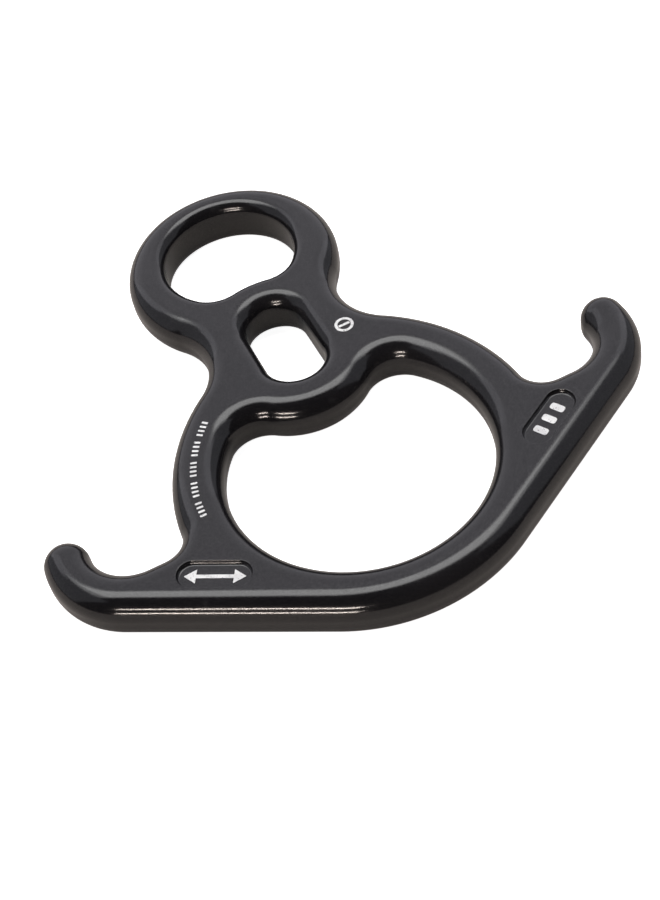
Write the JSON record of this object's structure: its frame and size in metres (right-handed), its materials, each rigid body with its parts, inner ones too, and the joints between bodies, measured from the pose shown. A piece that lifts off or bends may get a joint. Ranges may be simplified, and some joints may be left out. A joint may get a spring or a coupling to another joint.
{
  "type": "rescue figure-eight rope descender with ears",
  "caption": "Thick rounded plate descender with a large rope eye, a middle slot, a small carabiner eye, a hooked ear at each end of the cross bar and a shallow recess at each side.",
  "frame": {"origin": "centre of the bounding box in the plane of the plate, on the underside of the plate", "axes": "+X along the longest extent, from ear to ear; +Y from the large eye to the small eye; +Z out of the marked face, through the thickness of the plate"},
  "size_m": [0.1914, 0.1868, 0.016],
  "materials": {
    "anodised_plate": "dark anodised aluminium alloy, tumbled, semi-gloss",
    "white_mark": "matt white marking"
  },
  "bodies": {
    "root": {"body": "anodised_plate", "load_mark": "white_mark", "bar_mark": "white_mark", "shoulder_marks": "white_mark", "emblem": "white_mark"}
  },
  "joints": []
}
